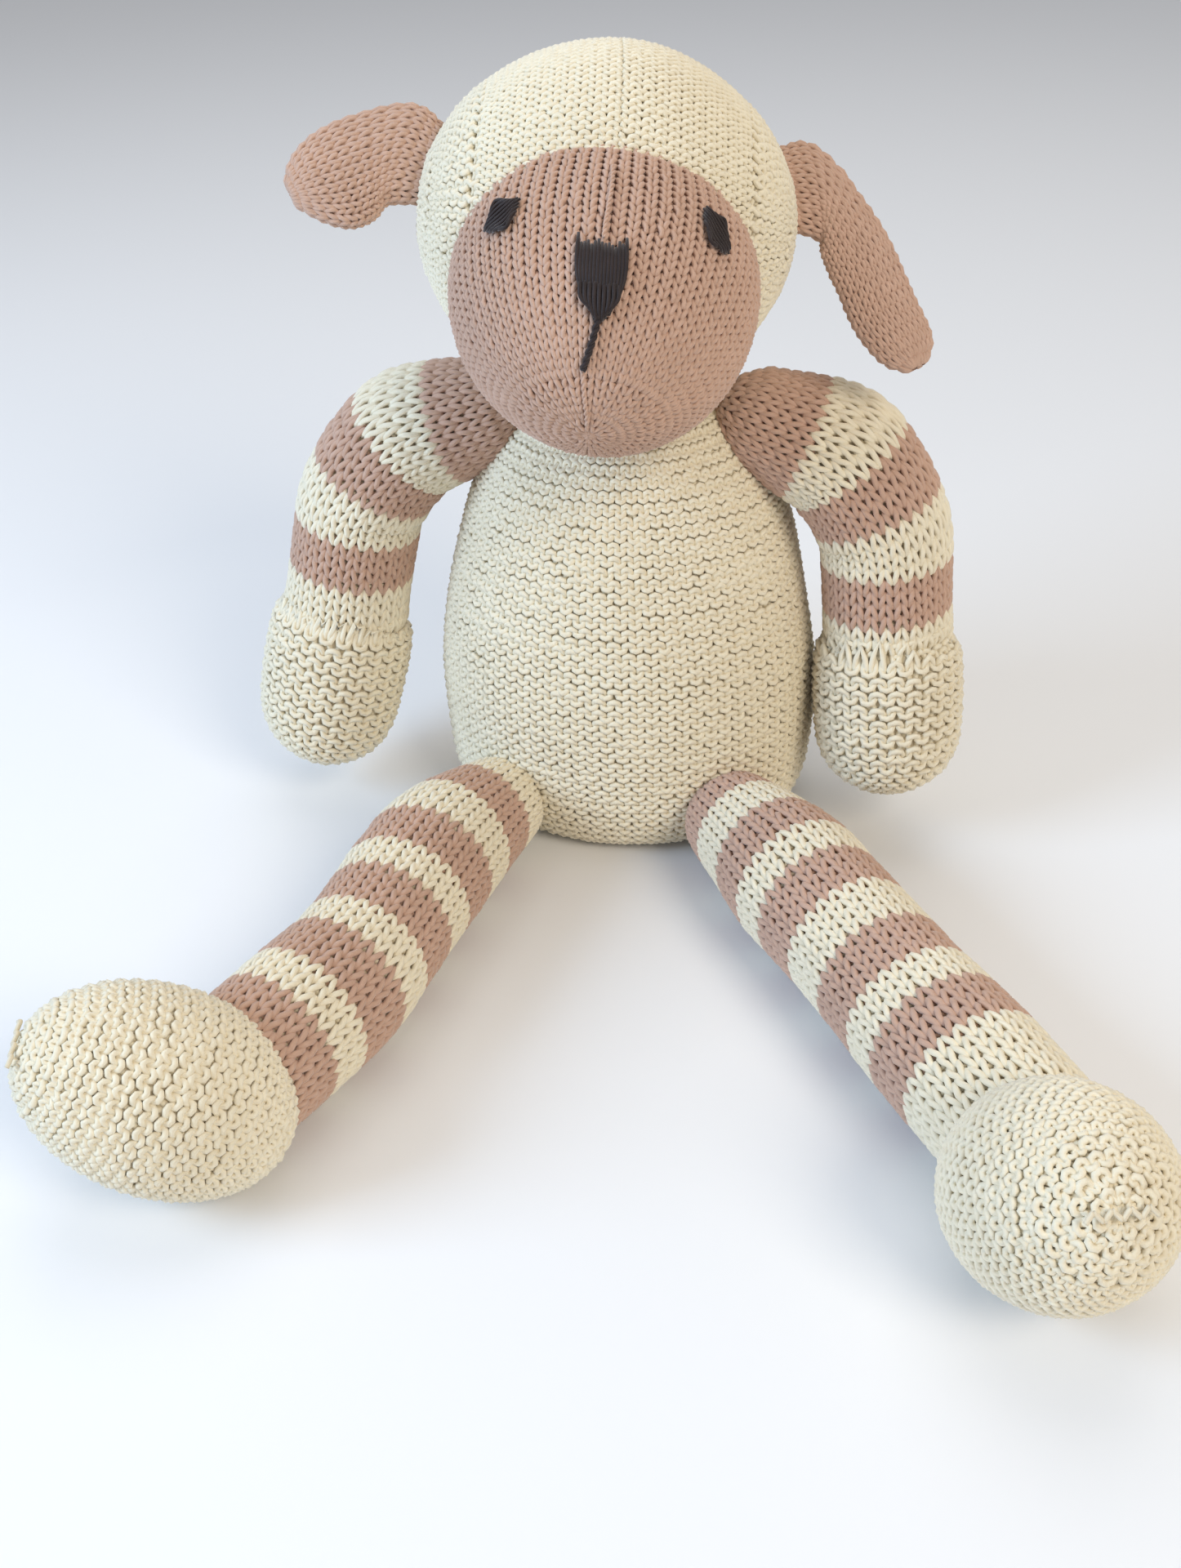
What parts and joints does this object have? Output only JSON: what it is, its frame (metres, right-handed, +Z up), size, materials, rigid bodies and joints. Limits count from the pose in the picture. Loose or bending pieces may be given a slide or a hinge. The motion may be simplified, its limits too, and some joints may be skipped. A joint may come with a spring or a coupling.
{
  "type": "knitted stuffed lamb toy",
  "caption": "Seated knitted soft toy lamb: stuffed head, body, arms and legs sewn together so that its head, ears, limbs, hands and feet move.",
  "frame": {"origin": "middle of the flat seat under the body", "axes": "+Z up, the toy faces -Y, and its own left side is +X"},
  "size_m": [0.2255, 0.223, 0.1951],
  "materials": {
    "cream_knit": "matte knit, purl side out",
    "tan_knit": "matte knit, plain side out",
    "striped_knit": "matte knit, tan and cream stripes",
    "dark_thread": "satin stitch",
    "cream_thread": "matte thread",
    "tan_thread": "matte thread",
    "polyester_fibre": "loose fibre"
  },
  "bodies": {
    "torso": {"torso_cover": "cream_knit", "torso_stuffing": "polyester_fibre"},
    "neck": {"neck_gather_thread": "cream_thread"},
    "head": {"right_crown_cover": "cream_knit", "left_crown_cover": "cream_knit", "muzzle_cover": "tan_knit", "head_stuffing": "polyester_fibre", "right_eye_stitching": "dark_thread", "left_eye_stitching": "dark_thread", "nose_stitching": "dark_thread", "mouth_stitching": "dark_thread", "muzzle_gather_stitch": "tan_thread"},
    "right_ear": {"right_ear": "tan_knit"},
    "left_ear": {"left_ear": "tan_knit"},
    "right_shoulder": {"right_shoulder_thread": "cream_thread"},
    "right_arm": {"right_arm_cover": "striped_knit", "right_arm_stuffing": "polyester_fibre"},
    "right_hand": {"right_hand_cover": "cream_knit", "right_hand_stuffing": "polyester_fibre"},
    "right_hip": {"right_hip_thread": "cream_thread"},
    "right_leg": {"right_leg_cover": "striped_knit", "right_leg_stuffing": "polyester_fibre"},
    "right_foot": {"right_foot_cover": "cream_knit", "right_foot_stuffing": "polyester_fibre", "right_toe_stitch": "cream_thread"},
    "left_shoulder": {"left_shoulder_thread": "cream_thread"},
    "left_arm": {"left_arm_cover": "striped_knit", "left_arm_stuffing": "polyester_fibre"},
    "left_hand": {"left_hand_cover": "cream_knit", "left_hand_stuffing": "polyester_fibre"},
    "left_hip": {"left_hip_thread": "cream_thread"},
    "left_leg": {"left_leg_cover": "striped_knit", "left_leg_stuffing": "polyester_fibre"},
    "left_foot": {"left_foot_cover": "cream_knit", "left_foot_stuffing": "polyester_fibre", "left_toe_stitch": "cream_thread"}
  },
  "joints": [
    {"name": "neck_turn", "type": "hinge", "parent": "torso", "child": "neck", "pos_m": [0, -0.003, 0.1155], "axis": [0, 0, 1], "range_deg": [-45, 30]},
    {"name": "neck_nod", "type": "hinge", "parent": "neck", "child": "head", "pos_m": [0, -0.003, 0.118], "axis": [0.9877, 0.1564, 0], "range_deg": [-15, 15]},
    {"name": "right_ear_flap", "type": "hinge", "parent": "head", "child": "right_ear", "pos_m": [-0.04804, -0.00808, 0.17169], "axis": [0.1951, 0.6817, 0.7051], "range_deg": [-40, 30]},
    {"name": "left_ear_flap", "type": "hinge", "parent": "head", "child": "left_ear", "pos_m": [0.04303, 0.00634, 0.16118], "axis": [0.2319, -0.6141, -0.7544], "range_deg": [-40, 30]},
    {"name": "right_shoulder_lift", "type": "hinge", "parent": "torso", "child": "right_shoulder", "pos_m": [-0.036, -0.001, 0.109], "axis": [0, 1, 0], "range_deg": [0, 54]},
    {"name": "right_shoulder_swing", "type": "hinge", "parent": "right_shoulder", "child": "right_arm", "pos_m": [-0.036, -0.001, 0.109], "axis": [-1, 0, 0], "range_deg": [-10, 60]},
    {"name": "right_wrist_flex", "type": "hinge", "parent": "right_arm", "child": "right_hand", "pos_m": [-0.0748, -0.004, 0.056], "axis": [-1, 0, 0], "range_deg": [-25, 25]},
    {"name": "right_hip_spread", "type": "hinge", "parent": "torso", "child": "right_hip", "pos_m": [-0.031, -0.037, 0.0155], "axis": [0, 0, -1], "range_deg": [-12, 32]},
    {"name": "right_hip_lift", "type": "hinge", "parent": "right_hip", "child": "right_leg", "pos_m": [-0.031, -0.037, 0.0155], "axis": [-0.9389, 0.3442, 0], "range_deg": [-40, 12]},
    {"name": "right_ankle_flex", "type": "hinge", "parent": "right_leg", "child": "right_foot", "pos_m": [-0.0603, -0.1325, 0.0175], "axis": [-0.9389, 0.3442, 0], "range_deg": [-20, 20]},
    {"name": "left_shoulder_lift", "type": "hinge", "parent": "torso", "child": "left_shoulder", "pos_m": [0.036, -0.001, 0.109], "axis": [0, -1, 0], "range_deg": [0, 22]},
    {"name": "left_shoulder_swing", "type": "hinge", "parent": "left_shoulder", "child": "left_arm", "pos_m": [0.036, -0.001, 0.109], "axis": [-1, 0, 0], "range_deg": [0, 60]},
    {"name": "left_wrist_flex", "type": "hinge", "parent": "left_arm", "child": "left_hand", "pos_m": [0.0672, -0.004, 0.057], "axis": [-1, 0, 0], "range_deg": [-6, 25]},
    {"name": "left_hip_spread", "type": "hinge", "parent": "torso", "child": "left_hip", "pos_m": [0.033, -0.036, 0.0155], "axis": [0, 0, 1], "range_deg": [-20, 24]},
    {"name": "left_hip_lift", "type": "hinge", "parent": "left_hip", "child": "left_leg", "pos_m": [0.033, -0.036, 0.0155], "axis": [-0.8708, -0.4916, 0], "range_deg": [-40, 12]},
    {"name": "left_ankle_flex", "type": "hinge", "parent": "left_leg", "child": "left_foot", "pos_m": [0.0963, -0.1318, 0.0175], "axis": [-0.8708, -0.4916, 0], "range_deg": [-20, 20]}
  ]
}
